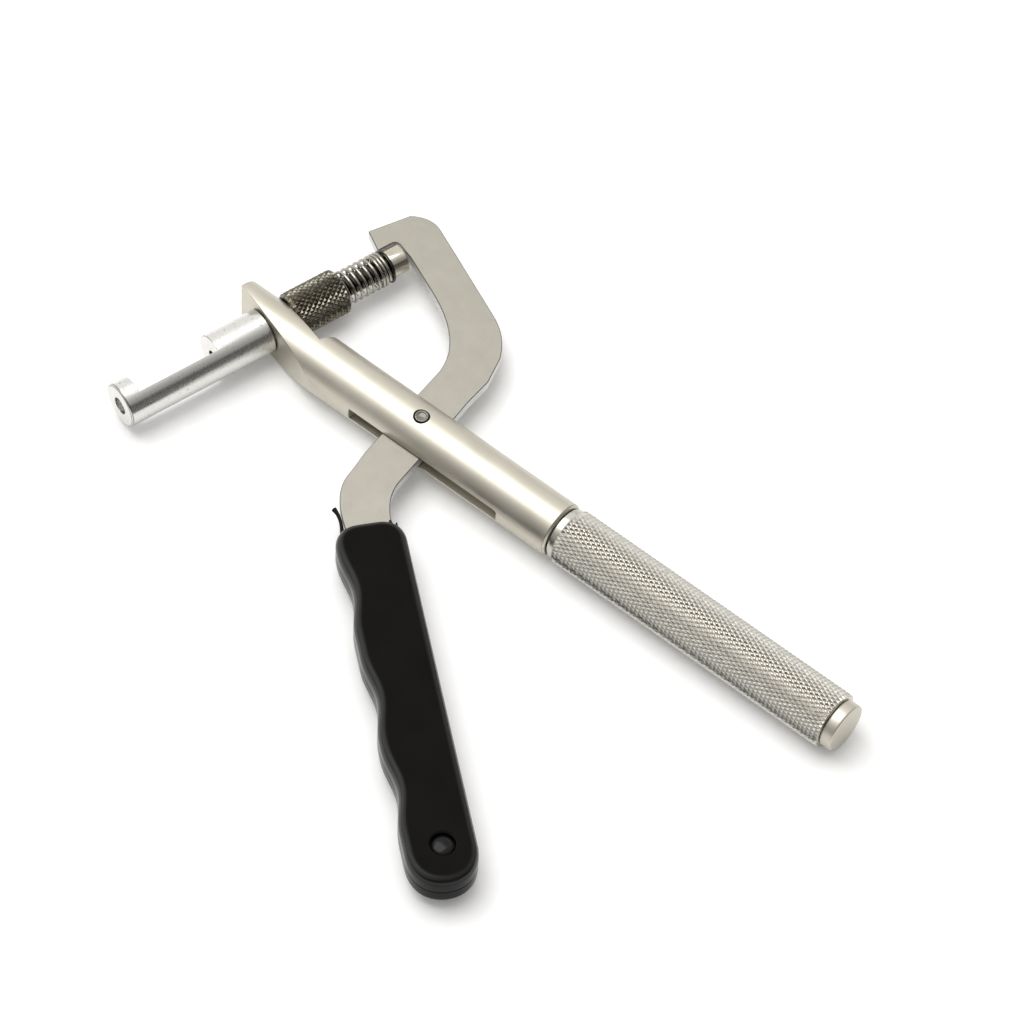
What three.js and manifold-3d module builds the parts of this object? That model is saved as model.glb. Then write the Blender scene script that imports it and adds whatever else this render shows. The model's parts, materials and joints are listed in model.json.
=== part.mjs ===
// Link pin pusher for watch bracelets, a hand tool of the plier kind.
// Millimetres, +Z up. The tool lies on its side on a table: the handle runs along +X,
// the lever pivots about +Z and the pusher crosses the head of the body on a skewed axis.
import * as THREE from 'three';
import { mergeVertices } from 'three/addons/utils/BufferGeometryUtils.js';
import Module from 'manifold-3d';

const wasm = await Module();
wasm.setup();

// ---- Driving dimensions -------------------------------------------------------------
const SEAT_GAP = 0.3;        // gap kept where one piece seats on another
const FIT_GAP = 0.3;         // radial gap round shafts, pins and spigots
const EDGE_BREAK = 0.2;      // chamfer on rods and pins

// Body: a round bar with a milled head, a lever slot and a spigot for the handle.
const BODY_RADIUS = 6.4;
const BODY_TIP_X = -51.9;
const BODY_END_X = 38.9;
const BODY_CHAMFER = 0.5;
const HEAD_X = -42.7;        // where the pusher axis crosses the body axis
const HEAD_SKEW = 16.5;      // degrees between the pusher axis and the body's cross axis
const HEAD_FLAT_ANVIL = -1.3;
const HEAD_FLAT_NUT = 4.95;
const HEAD_STEP = 12.2;      // from the pusher axis to the end of the nut side flat
const SLOT_LEFT_X = -16.4;
const SLOT_RIGHT_X = 26;
const SLOT_CORNER = 1.2;
const SLOT_END_DRAFT = 3.2;  // how far each slot end leans in as the cutter runs out
const SPIGOT_RADIUS = 4.5;
const SPIGOT_LENGTH = 15;

// Handle and its cap.
const HANDLE_RADIUS = 6.5;
const HANDLE_END_X = 112;
const HANDLE_COLLAR_RADIUS = 6.1;
const HANDLE_COLLAR_LENGTH = 1.5;
const CAP_RADIUS = 5.6;
const CAP_LENGTH = 2.6;
const CAP_CHAMFER = 0.5;
const CAP_SPIGOT_LENGTH = 9;
const SPARE_COUNT = 3;
const SPARE_RADIUS = 0.6;
const SPARE_LENGTH = 24;
const SPARE_LEAD = 3;        // from the body's spigot to the spare punches

// Anvil bar, measured along the pusher axis from the body axis, minus towards the anvil.
const ANVIL_RADIUS = 5.15;
const ANVIL_END = -38.2;
const ANVIL_CHAMFER = 0.3;
const NOTCH_OUTER = -34.4;
const NOTCH_INNER = -14.5;
const NOTCH_FLOOR = 1.9;     // past the pusher axis, on the handle side
const STUD_RADIUS = 3.6;
const STUD_END = 9;
const END_HOLE_RADIUS = 1.95;
const GUIDE_HOLE_RADIUS = 1.5;
const ROD_BORE_END = -9.8;

// Clamp nut, spring and pusher.
const NUT_RADIUS = 5.25;
const NUT_LENGTH = 13;
const NUT_CHAMFER = 0.5;
const SPRING_RADIUS = 4.05;
const SPRING_WIRE = 0.8;
const SPRING_PITCH = 1.42;
const SPRING_TURN_STEPS = 14;
const WASHER_THICKNESS = 0.5;
const ROD_RADIUS = 2.2;
const ROD_FRONT = -1;
const BUTTON_RADIUS = 3.2;
const BUTTON_BASE = 30.75;
const BUTTON_SHOULDER = 34.4;
const BUTTON_END = 35.3;
const BUTTON_SOCKET = 2.2;
const HOLDER_RADIUS = 1.2;
const HOLDER_LENGTH = 6.2;
const PUNCH_RADIUS = 0.5;
const PUNCH_LENGTH = 5;

// Lever: a flat steel plate on the pivot, hooked over the button, with a moulded grip.
const PLATE_THICKNESS = 2.6;
const PLATE_WIDTH = 10;
const PIVOT_RADIUS = 1.5;
const PIVOT_PROUD = 0.05;
const PIVOT_DIMPLE_RADIUS = 1.05;
const PIVOT_DIMPLE_DEPTH = 0.5;
const HOOK_GAP = 0.35;
const HOOK_DEPTH = 5;        // from the lip to the floor of the recess
const HOOK_CORNER = 1.6;
const HOOK_FLOOR_END = 1.8;  // past the pusher's axis, across it
// Edges of the plate beside the pivot: out past half its width, then along Y.
const INNER_SIDE = [[1.8, 14.5], [0.4, -12], [-0.5, -18], [-0.6, -24.5]];
const OUTER_SIDE = [[0.3, -18.3], [0.1, -13], [-0.8, 0], [-1.9, 12], [-2, 19]];
// The hook's outline, from the pivot.
const THROAT_CORNER = [-20.5, 29.2];
const THROAT_BEND = [-8, 23.4];
const HOOK_BACK = [
  [1.1, 25.4], [-1.6, 30.9], [-7.3, 33.4], [-30.4, 43.6], [-34.2, 45.4], [-38.2, 42.4],
  [-42.5, 33.1],
];
const NECK_LEAD = 0.8;       // where the plate's outer curve ends, before the grip
const GRIP_ANGLE = -39.3;    // degrees from the handle to the grip
const GRIP_START = 22.8;     // from the pivot, along the grip
const GRIP_LENGTH = 89.9;
const GRIP_INNER = -8.5;     // edge that faces the handle
const GRIP_OUTER = -23.8;    // crests between the finger hollows
const HOLLOW_PLACES = [39.2, 66, 88.3]; // deepest points of the finger hollows
const HOLLOW_REACH = 10.6;   // from the deepest point to either end
const HOLLOW_DEPTH = 1.55;
const HOLLOW_STEP = 2;
const GRIP_THICKNESS = 8.7;
const GRIP_ROUNDING = 2;
const GRIP_CORNER = 3.6;     // at the end where the plate enters
const GRIP_END_ROUND = 6.6;  // at the screw end
const END_FULLNESS = 0.62;   // control length of the end curves
const TANG_CENTRE = -15.7;
const TANG_END = 108;
const SCREW_PLACE = 103.5;
const SCREW_RADIUS = 1.3;
const SCREW_HEAD_RADIUS = 2.5;
const SCREW_HEAD_HEIGHT = 1.2;
const SCREW_RECESS = 1.7;

// ---- Solids -------------------------------------------------------------------------
const ROUND = 48;
const FINE = 24;
const degrees = THREE.MathUtils.degToRad;

function solid(geometry) {
  const bare = geometry.index ? geometry.toNonIndexed() : geometry.clone();
  bare.deleteAttribute('normal');
  bare.deleteAttribute('uv');
  const merged = mergeVertices(bare, 1e-4);
  return new wasm.Manifold(new wasm.Mesh({
    numProp: 3,
    vertProperties: new Float32Array(merged.attributes.position.array),
    triVerts: new Uint32Array(merged.index.array),
  }));
}

function geometryOf(body) {
  const mesh = body.getMesh();
  const geometry = new THREE.BufferGeometry();
  geometry.setAttribute('position', new THREE.BufferAttribute(mesh.vertProperties, 3));
  geometry.setIndex(new THREE.BufferAttribute(mesh.triVerts, 1));
  geometry.computeVertexNormals();
  return geometry;
}

function moved(geometry, matrix) {
  return geometry.clone().applyMatrix4(matrix);
}

// A turned piece on the Y axis. The profile lists [radius, height] from bottom to top.
function turned(profile, sides = ROUND) {
  return new THREE.LatheGeometry(profile.map(([r, y]) => new THREE.Vector2(r, y)), sides);
}

function rod(radius, from, to, sides = ROUND) {
  return turned([[0, from], [radius, from], [radius, to], [0, to]], sides);
}

function chamferedRod(radius, from, to, chamfer, sides = ROUND) {
  return turned([
    [0, from], [radius - chamfer, from], [radius, from + chamfer],
    [radius, to - chamfer], [radius - chamfer, to], [0, to],
  ], sides);
}

function ring(inner, outer, from, to, sides = ROUND) {
  return turned([[inner, from], [outer, from], [outer, to], [inner, to], [inner, from]], sides);
}

function block(x0, x1, y0, y1, z0, z1) {
  const box = new THREE.BoxGeometry(x1 - x0, y1 - y0, z1 - z0);
  return box.translate((x0 + x1) / 2, (y0 + y1) / 2, (z0 + z1) / 2);
}

function slab(shape, z0, z1, curveSegments = 10) {
  const options = { depth: z1 - z0, bevelEnabled: false, curveSegments };
  return new THREE.ExtrudeGeometry(shape, options).translate(0, 0, z0);
}

// Frames: turned pieces are made on Y, then laid along X, along Z or on the pusher axis.
const alongX = new THREE.Matrix4().makeRotationZ(-Math.PI / 2);
const alongZ = new THREE.Matrix4().makeRotationX(Math.PI / 2);
const onPusher = new THREE.Matrix4().makeTranslation(HEAD_X, 0, 0)
  .multiply(new THREE.Matrix4().makeRotationZ(-degrees(HEAD_SKEW)));
const onGrip = new THREE.Matrix4().makeRotationZ(degrees(GRIP_ANGLE));

function pusherPoint(across, along) {
  const point = new THREE.Vector3(across, along, 0).applyMatrix4(onPusher);
  return new THREE.Vector2(point.x, point.y);
}

function gripPoint(along, across) {
  const point = new THREE.Vector3(along, across, 0).applyMatrix4(onGrip);
  return new THREE.Vector2(point.x, point.y);
}

// ---- Fixed pieces -------------------------------------------------------------------
const slotHalfHeight = PLATE_THICKNESS / 2 + FIT_GAP;
const FAR = 40;              // reach of a cutter that runs out of the piece

/** A block over the slot's length and height, with the round ends that a cutter leaves. */
function roundEndedBlock() {
  const corner = SLOT_CORNER;
  const low = SLOT_LEFT_X + corner;
  const high = SLOT_RIGHT_X - corner;
  const top = slotHalfHeight - corner;
  const quarter = Math.PI / 2;
  const face = new THREE.Shape();
  face.absarc(high, top, corner, 0, quarter, false);
  face.absarc(low, top, corner, quarter, 2 * quarter, false);
  face.absarc(low, -top, corner, 2 * quarter, 3 * quarter, false);
  face.absarc(high, -top, corner, 3 * quarter, 4 * quarter, false);
  return slab(face, -FAR, FAR).rotateX(quarter);
}

function bodyBar() {
  const spigotEnd = BODY_END_X + SPIGOT_LENGTH;
  let body = solid(moved(turned([
    [0, BODY_TIP_X], [BODY_RADIUS - BODY_CHAMFER, BODY_TIP_X],
    [BODY_RADIUS, BODY_TIP_X + BODY_CHAMFER], [BODY_RADIUS, BODY_END_X - BODY_CHAMFER],
    [BODY_RADIUS - BODY_CHAMFER, BODY_END_X], [SPIGOT_RADIUS, BODY_END_X],
    [SPIGOT_RADIUS, spigotEnd - BODY_CHAMFER], [SPIGOT_RADIUS - BODY_CHAMFER, spigotEnd],
    [0, spigotEnd],
  ], 56), alongX));
  const anvilSide = block(-FAR, FAR, -FAR, HEAD_FLAT_ANVIL, -FAR, FAR);
  const nutSide = block(-FAR, HEAD_STEP, HEAD_FLAT_NUT, FAR, -FAR, FAR);
  const crossHole = rod(STUD_RADIUS + FIT_GAP, -FAR, FAR);
  for (const cutter of [anvilSide, nutSide, crossHole]) {
    body = body.subtract(solid(moved(cutter, onPusher)));
  }
  const reach = 2 * BODY_RADIUS;
  const slot = new THREE.Shape();
  slot.moveTo(SLOT_LEFT_X, -reach);
  slot.quadraticCurveTo(SLOT_LEFT_X + SLOT_END_DRAFT, 0, SLOT_LEFT_X + SLOT_END_DRAFT, reach);
  slot.lineTo(SLOT_RIGHT_X - SLOT_END_DRAFT, reach);
  slot.quadraticCurveTo(SLOT_RIGHT_X, 0, SLOT_RIGHT_X, -reach);
  const blank = solid(slab(slot, -slotHalfHeight, slotHalfHeight));
  body = body.subtract(blank.intersect(solid(roundEndedBlock())));
  const pinHole = moved(rod(PIVOT_RADIUS + FIT_GAP, -FAR, FAR, FINE), alongZ);
  return geometryOf(body.subtract(solid(pinHole)));
}

function anvilBar() {
  const shoulder = HEAD_FLAT_ANVIL - SEAT_GAP;
  let bar = solid(turned([
    [0, ANVIL_END], [ANVIL_RADIUS - ANVIL_CHAMFER, ANVIL_END],
    [ANVIL_RADIUS, ANVIL_END + ANVIL_CHAMFER], [ANVIL_RADIUS, shoulder],
    [STUD_RADIUS, shoulder], [STUD_RADIUS, STUD_END], [0, STUD_END],
  ]));
  bar = bar.subtract(solid(block(-FAR, NOTCH_FLOOR, NOTCH_OUTER, NOTCH_INNER, -FAR, FAR)));
  bar = bar.subtract(solid(rod(END_HOLE_RADIUS, -FAR - FAR, NOTCH_OUTER + 1, FINE)));
  bar = bar.subtract(solid(turned([
    [0, NOTCH_INNER - 1], [GUIDE_HOLE_RADIUS, NOTCH_INNER - 1],
    [GUIDE_HOLE_RADIUS, ROD_BORE_END], [ROD_RADIUS + FIT_GAP, ROD_BORE_END],
    [ROD_RADIUS + FIT_GAP, FAR], [0, FAR],
  ], FINE)));
  return geometryOf(bar);
}

function pivotPin() {
  const half = BODY_RADIUS + PIVOT_PROUD;
  return moved(turned([
    [0, -half], [PIVOT_RADIUS, -half], [PIVOT_RADIUS, half], [PIVOT_DIMPLE_RADIUS, half],
    [PIVOT_DIMPLE_RADIUS, half - PIVOT_DIMPLE_DEPTH], [0, half - PIVOT_DIMPLE_DEPTH],
  ], FINE), alongZ);
}

const handleStart = BODY_END_X + SEAT_GAP;
const handleBore = SPIGOT_RADIUS + FIT_GAP;

function knurledHandle() {
  const knurlStart = handleStart + HANDLE_COLLAR_LENGTH;
  return moved(turned([
    [handleBore, handleStart], [HANDLE_COLLAR_RADIUS, handleStart],
    [HANDLE_COLLAR_RADIUS, knurlStart], [HANDLE_RADIUS, knurlStart],
    [HANDLE_RADIUS, HANDLE_END_X], [handleBore, HANDLE_END_X], [handleBore, handleStart],
  ]), alongX);
}

const capStart = HANDLE_END_X + SEAT_GAP;

function endCap() {
  const capEnd = capStart + CAP_LENGTH;
  const inside = capStart - CAP_SPIGOT_LENGTH;
  return moved(turned([
    [0, inside], [SPIGOT_RADIUS, inside], [SPIGOT_RADIUS, capStart], [CAP_RADIUS, capStart],
    [CAP_RADIUS, capEnd - CAP_CHAMFER], [CAP_RADIUS - CAP_CHAMFER, capEnd], [0, capEnd],
  ]), alongX);
}

function sparePunch(index) {
  const lie = handleBore - SPARE_RADIUS - FIT_GAP;
  const spread = 3 * SPARE_RADIUS / lie;
  const angle = (index - (SPARE_COUNT - 1) / 2) * spread;
  const start = BODY_END_X + SPIGOT_LENGTH + SPARE_LEAD;
  const pin = moved(chamferedRod(SPARE_RADIUS, start, start + SPARE_LENGTH, EDGE_BREAK, 12), alongX);
  return pin.translate(0, lie * Math.sin(angle), -lie * Math.cos(angle));
}

// ---- Pusher train, all on the pusher axis ---------------------------------------------
const nutStart = HEAD_FLAT_NUT + SEAT_GAP;
const springWell = SPRING_RADIUS + FIT_GAP;
const baseWasher = STUD_END + SEAT_GAP;
const springStart = baseWasher + WASHER_THICKNESS + SEAT_GAP;
const capWasher = BUTTON_BASE - SEAT_GAP - WASHER_THICKNESS;
const springEnd = capWasher - SEAT_GAP;

function clampNut() {
  const end = nutStart + NUT_LENGTH;
  const threadBore = STUD_RADIUS + FIT_GAP;
  return turned([
    [threadBore, nutStart], [NUT_RADIUS - NUT_CHAMFER, nutStart],
    [NUT_RADIUS, nutStart + NUT_CHAMFER], [NUT_RADIUS, end - NUT_CHAMFER],
    [NUT_RADIUS - NUT_CHAMFER, end], [springWell, end], [springWell, STUD_END],
    [threadBore, STUD_END], [threadBore, nutStart],
  ]);
}

function springWasher(start) {
  return ring(ROD_RADIUS + FIT_GAP, SPRING_RADIUS - 0.1, start, start + WASHER_THICKNESS, FINE);
}

class Helix extends THREE.Curve {
  constructor(radius, start, end, turns) {
    super();
    Object.assign(this, { radius, start, end, turns });
  }

  getPoint(t, target = new THREE.Vector3()) {
    const angle = 2 * Math.PI * this.turns * t;
    const y = this.start + (this.end - this.start) * t;
    return target.set(this.radius * Math.cos(angle), y, this.radius * Math.sin(angle));
  }
}

function returnSpring() {
  const wireRadius = SPRING_WIRE / 2;
  const first = springStart + wireRadius;
  const last = springEnd - wireRadius;
  const turns = Math.round((last - first) / SPRING_PITCH);
  const path = new Helix(SPRING_RADIUS - wireRadius, first, last, turns);
  const section = new THREE.Shape();
  section.absarc(0, 0, wireRadius, 0, 2 * Math.PI);
  const options = { steps: turns * SPRING_TURN_STEPS, extrudePath: path, curveSegments: 3 };
  return new THREE.ExtrudeGeometry(section, options);
}

function pushRod() {
  const end = BUTTON_BASE + BUTTON_SOCKET - SEAT_GAP;
  return chamferedRod(ROD_RADIUS, ROD_FRONT, end, EDGE_BREAK, FINE);
}

function pushButton() {
  const dome = BUTTON_END - BUTTON_SHOULDER;
  const domeRadius = (BUTTON_RADIUS ** 2 + dome ** 2) / (2 * dome);
  const profile = [
    [0, BUTTON_BASE + BUTTON_SOCKET], [ROD_RADIUS + FIT_GAP, BUTTON_BASE + BUTTON_SOCKET],
    [ROD_RADIUS + FIT_GAP, BUTTON_BASE], [BUTTON_RADIUS, BUTTON_BASE],
  ];
  const steps = 6;
  const halfAngle = Math.asin(BUTTON_RADIUS / domeRadius);
  for (let i = 0; i < steps; i++) {
    const angle = halfAngle * (1 - i / steps);
    profile.push([domeRadius * Math.sin(angle), BUTTON_END - domeRadius * (1 - Math.cos(angle))]);
  }
  profile.push([0, BUTTON_END]);
  return turned(profile, 36);
}

const holderFront = ROD_FRONT - SEAT_GAP - HOLDER_LENGTH;

function punchHolder() {
  return chamferedRod(HOLDER_RADIUS, holderFront, ROD_FRONT - SEAT_GAP, EDGE_BREAK, FINE);
}

function punchPin() {
  const back = holderFront - SEAT_GAP;
  return chamferedRod(PUNCH_RADIUS, back - PUNCH_LENGTH, back, EDGE_BREAK / 2, 12);
}

// ---- Lever --------------------------------------------------------------------------
const hookSide = BUTTON_RADIUS + 1.5 * HOOK_GAP;
const hookTop = BUTTON_END + HOOK_GAP;
const hookLip = hookTop - HOOK_DEPTH;

function leverShape() {
  const tangInner = TANG_CENTRE + PLATE_WIDTH / 2;
  const tangOuter = TANG_CENTRE - PLATE_WIDTH / 2;
  const half = PLATE_WIDTH / 2;
  const shape = new THREE.Shape();
  const to = (point) => shape.lineTo(point.x, point.y);
  const bend = (control, point) => {
    shape.quadraticCurveTo(control.x, control.y, point.x, point.y);
  };
  const at = (x, y) => new THREE.Vector2(x, y);
  const inner = (i) => at(-half - INNER_SIDE[i][0], INNER_SIDE[i][1]);
  const outer = (i) => at(half + OUTER_SIDE[i][0], OUTER_SIDE[i][1]);
  const lip = pusherPoint(-hookSide, hookLip);
  shape.moveTo(lip.x, lip.y);
  // Hook: inside of the recess, from the lip up over the button.
  to(pusherPoint(-hookSide, hookTop - HOOK_CORNER));
  bend(pusherPoint(-hookSide, hookTop), pusherPoint(HOOK_CORNER - hookSide, hookTop));
  // Inner edge, down to the body.
  to(pusherPoint(HOOK_FLOOR_END, hookTop));
  to(at(...THROAT_CORNER));
  bend(at(...THROAT_BEND), inner(0));
  to(inner(1));
  to(inner(2));
  bend(inner(3), gripPoint(GRIP_START - NECK_LEAD, tangOuter));
  // Tang inside the grip.
  to(gripPoint(TANG_END - half, tangOuter));
  bend(gripPoint(TANG_END, tangOuter), gripPoint(TANG_END, TANG_CENTRE));
  bend(gripPoint(TANG_END, tangInner), gripPoint(TANG_END - half, tangInner));
  to(gripPoint(GRIP_START, tangInner));
  bend(outer(0), outer(1));
  // Outer edge, up past the body to the top of the hook.
  to(outer(2));
  to(outer(3));
  to(outer(4));
  const back = HOOK_BACK.map((place) => at(...place));
  to(back[0]);
  bend(back[1], back[2]);
  to(back[3]);
  bend(back[4], back[5]);
  to(back[6]);
  return shape;
}

function leverPlate() {
  const half = PLATE_THICKNESS / 2;
  let plate = solid(slab(leverShape(), -half, half));
  plate = plate.subtract(solid(moved(rod(PIVOT_RADIUS + FIT_GAP, -FAR, FAR, FINE), alongZ)));
  return geometryOf(plate.subtract(screwBore()));
}

function screwBore() {
  const hole = moved(rod(SCREW_RADIUS + FIT_GAP, -FAR, FAR, FINE), alongZ);
  return solid(moved(hole.translate(SCREW_PLACE, TANG_CENTRE, 0), onGrip));
}

// Grip outline, along the grip from the pivot: [along, across].
function hollowAt(place) {
  let depth = 0;
  for (const deepest of HOLLOW_PLACES) {
    const away = Math.abs(place - deepest) / HOLLOW_REACH;
    if (away < 1) {
      depth += HOLLOW_DEPTH * Math.cos(away * Math.PI / 2) ** 2;
    }
  }
  return depth;
}

function gripShape() {
  const start = GRIP_START + GRIP_ROUNDING;
  const end = GRIP_START + GRIP_LENGTH - GRIP_ROUNDING;
  const inner = GRIP_INNER - GRIP_ROUNDING;
  const outer = GRIP_OUTER + GRIP_ROUNDING;
  const middle = (inner + outer) / 2;
  const turn = end - GRIP_END_ROUND;
  const reach = turn + END_FULLNESS * GRIP_END_ROUND;
  const rise = END_FULLNESS * (inner - middle);
  const firstHollow = HOLLOW_PLACES[0] - HOLLOW_REACH;
  const shape = new THREE.Shape();
  shape.moveTo(start, outer + GRIP_CORNER);
  shape.quadraticCurveTo(start, outer, start + GRIP_CORNER, outer);
  for (let place = firstHollow + HOLLOW_STEP; place < turn; place += HOLLOW_STEP) {
    shape.lineTo(place, outer + hollowAt(place));
  }
  shape.lineTo(turn, outer);
  shape.bezierCurveTo(reach, outer, end, middle - rise, end, middle);
  shape.bezierCurveTo(end, middle + rise, reach, inner, turn, inner);
  shape.lineTo(start + GRIP_CORNER, inner);
  shape.quadraticCurveTo(start, inner, start, inner - GRIP_CORNER);
  shape.lineTo(start, outer + GRIP_CORNER);
  return shape;
}

function gripBlank() {
  const options = {
    depth: GRIP_THICKNESS - 2 * GRIP_ROUNDING, bevelEnabled: true, curveSegments: 5,
    bevelThickness: GRIP_ROUNDING, bevelSize: GRIP_ROUNDING, bevelSegments: 3,
  };
  const blank = new THREE.ExtrudeGeometry(gripShape(), options);
  blank.translate(0, 0, GRIP_ROUNDING - GRIP_THICKNESS / 2);
  return solid(moved(blank, onGrip));
}

function gripHalf(side) {
  const half = GRIP_THICKNESS / 2;
  const split = SEAT_GAP / 2;
  let grip = gripBlank();
  const other = side > 0 ? block(-FAR, 3 * FAR, -FAR, FAR, -FAR, split)
    : block(-FAR, 3 * FAR, -FAR, FAR, -split, FAR);
  grip = grip.subtract(solid(moved(other, onGrip)));
  const pocketZ = PLATE_THICKNESS / 2 + FIT_GAP;
  const width = PLATE_WIDTH / 2 + FIT_GAP;
  const pocket = block(0, TANG_END + FIT_GAP, TANG_CENTRE - width, TANG_CENTRE + width,
    -pocketZ, pocketZ);
  grip = grip.subtract(solid(moved(pocket, onGrip)));
  grip = grip.subtract(screwBore());
  const recess = rod(SCREW_HEAD_RADIUS + FIT_GAP, half - SCREW_RECESS, FAR, 32);
  const turn = side > 0 ? alongZ : new THREE.Matrix4().makeRotationX(-Math.PI / 2);
  const placed = moved(recess, turn).translate(SCREW_PLACE, TANG_CENTRE, 0);
  return geometryOf(grip.subtract(solid(moved(placed, onGrip))));
}

const headSeat = GRIP_THICKNESS / 2 - SCREW_RECESS + SEAT_GAP;

function gripScrew() {
  const screw = turned([
    [0, -headSeat - 0.8], [SCREW_RADIUS, -headSeat - 0.8], [SCREW_RADIUS, headSeat],
    [SCREW_HEAD_RADIUS, headSeat], [SCREW_HEAD_RADIUS, headSeat + SCREW_HEAD_HEIGHT * 0.5],
    [SCREW_HEAD_RADIUS * 0.7, headSeat + SCREW_HEAD_HEIGHT * 0.85],
    [0, headSeat + SCREW_HEAD_HEIGHT],
  ], FINE);
  return moved(moved(screw, alongZ).translate(SCREW_PLACE, TANG_CENTRE, 0), onGrip);
}

function gripScrewNut() {
  const nut = ring(SCREW_RADIUS + FIT_GAP, SCREW_HEAD_RADIUS, -headSeat - 1.1, -headSeat, 6);
  return moved(moved(nut, alongZ).translate(SCREW_PLACE, TANG_CENTRE, 0), onGrip);
}

// ---- Finishes and assembly ----------------------------------------------------------
const finish = (color, roughness, metalness) => ({ color, roughness, metalness });
const SATIN_STEEL = finish(0xc9c5b8, 0.38, 1);
const PLATE_STEEL = finish(0xbeb7aa, 0.5, 0.9);
const BRIGHT_NICKEL = finish(0xd8d4cc, 0.15, 1);
const DARK_KNURL = finish(0x4a443e, 0.35, 1);
const TOOL_STEEL = finish(0x8d8a86, 0.3, 1);
const BLACK_PLASTIC = finish(0x1e1e20, 0.45, 0);

function part(name, geometry, look) {
  const mesh = new THREE.Mesh(geometry, new THREE.MeshStandardMaterial(look));
  mesh.name = name;
  return mesh;
}

const pusherAxis = new THREE.Group();
pusherAxis.applyMatrix4(onPusher);
pusherAxis.add(
  part('anvil_bar', anvilBar(), BRIGHT_NICKEL),
  part('clamp_nut', clampNut(), DARK_KNURL),
  part('spring_base_washer', springWasher(baseWasher), BRIGHT_NICKEL),
  part('return_spring', returnSpring(), BRIGHT_NICKEL),
  part('spring_cap_washer', springWasher(capWasher), BRIGHT_NICKEL),
  part('push_rod', pushRod(), TOOL_STEEL),
  part('push_button', pushButton(), BRIGHT_NICKEL),
  part('punch_holder', punchHolder(), TOOL_STEEL),
  part('punch_pin', punchPin(), TOOL_STEEL),
);

const tool = new THREE.Group();
tool.add(
  pusherAxis,
  part('body_bar', bodyBar(), SATIN_STEEL),
  part('pivot_pin', pivotPin(), TOOL_STEEL),
  part('lever_plate', leverPlate(), PLATE_STEEL),
  part('grip_upper_half', gripHalf(1), BLACK_PLASTIC),
  part('grip_lower_half', gripHalf(-1), BLACK_PLASTIC),
  part('grip_screw', gripScrew(), BLACK_PLASTIC),
  part('grip_screw_nut', gripScrewNut(), TOOL_STEEL),
  part('knurled_handle', knurledHandle(), SATIN_STEEL),
  part('end_cap', endCap(), SATIN_STEEL),
);
for (let i = 0; i < SPARE_COUNT; i++) {
  tool.add(part(`spare_punch_${i + 1}`, sparePunch(i), TOOL_STEEL));
}

// The origin is under the middle of the tool's box, on the surface that it lies on.
tool.updateMatrixWorld(true);
const box = new THREE.Box3().setFromObject(tool, true);
const middle = box.getCenter(new THREE.Vector3());
tool.position.set(-middle.x, -middle.y, -box.min.z);

const model = new THREE.Group();
model.add(tool);
export default model;
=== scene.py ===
"""Link pin press plier: the looks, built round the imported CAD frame. Metres, +Z up."""
import json
import math

import bmesh
import bpy
from mathutils import Matrix, Vector


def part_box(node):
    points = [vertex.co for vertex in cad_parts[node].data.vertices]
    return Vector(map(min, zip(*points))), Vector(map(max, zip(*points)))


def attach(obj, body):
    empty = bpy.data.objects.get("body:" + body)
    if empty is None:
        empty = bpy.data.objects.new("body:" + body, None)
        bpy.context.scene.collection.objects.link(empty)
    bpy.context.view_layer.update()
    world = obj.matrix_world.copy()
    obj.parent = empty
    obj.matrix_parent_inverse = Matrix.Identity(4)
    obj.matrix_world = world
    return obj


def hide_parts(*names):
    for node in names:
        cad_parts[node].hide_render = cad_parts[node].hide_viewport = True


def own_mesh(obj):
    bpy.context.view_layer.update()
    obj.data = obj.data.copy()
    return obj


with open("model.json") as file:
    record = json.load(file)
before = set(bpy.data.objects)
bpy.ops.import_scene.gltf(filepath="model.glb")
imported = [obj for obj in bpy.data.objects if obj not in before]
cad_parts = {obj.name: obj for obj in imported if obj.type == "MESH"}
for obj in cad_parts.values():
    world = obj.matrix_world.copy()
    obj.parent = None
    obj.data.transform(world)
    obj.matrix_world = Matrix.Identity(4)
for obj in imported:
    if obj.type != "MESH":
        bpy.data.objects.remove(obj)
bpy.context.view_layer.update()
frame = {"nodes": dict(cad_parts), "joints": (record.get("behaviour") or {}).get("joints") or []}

MM = 0.001
TURN = 2 * math.pi
nodes = frame["nodes"]
joints = {joint["name"]: joint for joint in frame["joints"]}

# ---- Places read from the frame -----------------------------------------------------
pivot = Vector(joints["lever_pivot"]["pos_m"])
push_dir = -Vector(joints["pusher_slide"]["axis"]).normalized()     # towards the button
across_dir = push_dir.cross(Vector((0, 0, 1)))                      # towards the handle
nut_centre = Vector(joints["clamp_nut_turn"]["pos_m"])
handle_low, handle_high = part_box("knurled_handle")
cap_low, cap_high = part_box("end_cap")


def frame_matrix(origin, x_axis, y_axis, z_axis):
    """Takes a piece from its own frame to the tool: its Z axis becomes z_axis."""
    turn = Matrix((x_axis, y_axis, z_axis)).transposed().to_4x4()
    return Matrix.Translation(origin) @ turn


UP = Vector((0, 0, 1))
X_AXIS = Vector((1, 0, 0))
Y_AXIS = Vector((0, 1, 0))
head = nut_centre - push_dir * (nut_centre - pivot).y / push_dir.y  # where the axes cross
ON_PUSHER = frame_matrix(head, across_dir, -UP, push_dir)
ON_HANDLE = frame_matrix(Vector((0, pivot.y, pivot.z)), Y_AXIS, UP, X_AXIS)
ON_PIVOT = Matrix.Translation(pivot)


# ---- Materials ----------------------------------------------------------------------
PAINTED_LIGHT_MARK = 0.5                      # the mark on faces painted lighter as painted light: the plate's side walls and the body's slot faces


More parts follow.
